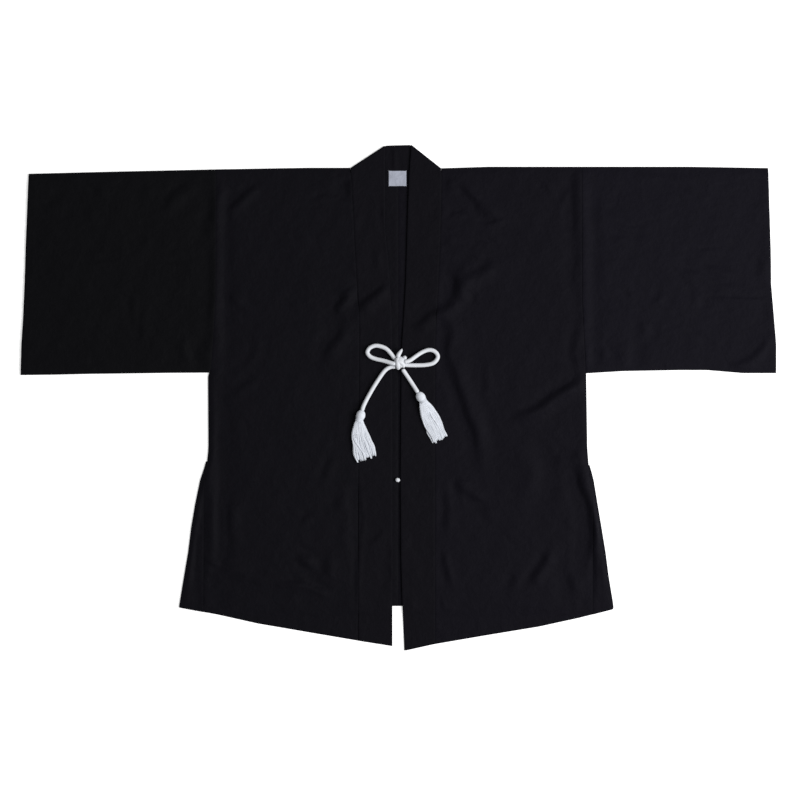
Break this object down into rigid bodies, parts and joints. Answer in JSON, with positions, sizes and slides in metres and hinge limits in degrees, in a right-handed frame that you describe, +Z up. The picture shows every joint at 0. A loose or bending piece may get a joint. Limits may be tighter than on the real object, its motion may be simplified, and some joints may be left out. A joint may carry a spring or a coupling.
{
  "type": "kimono jacket",
  "caption": "Kimono jacket laid flat with its front up: straight open sleeves, side gussets, a long collar band, and a white tie cord in a bow with tassels.",
  "frame": {"origin": "on the surface that the coat lies on, under the middle of its outline", "axes": "+X along the sleeves, to the right of someone who looks down at the front; +Y from the hem to the neck; +Z up"},
  "size_m": [1.4, 0.9373, 0.0217],
  "materials": {
    "cloth": "matt plain weave, black with a cool cast",
    "band": "the same black cloth, doubled and pressed",
    "braid": "round white braid, soft",
    "thread": "loose white twisted thread",
    "label": "bare off-white satin ribbon"
  },
  "bodies": {
    "root": {"body_left": "cloth", "body_right": "cloth", "sleeve_left": "cloth", "sleeve_right": "cloth", "gusset_left": "cloth", "gusset_right": "cloth", "collar": "band", "label": "label", "tie_loop_left": "braid", "tie_loop_right": "braid", "tie_tail_left": "braid", "tie_tail_right": "braid", "tie_knot": "braid", "tassel_left": "thread", "tassel_right": "thread", "cord_end": "braid"}
  },
  "joints": []
}
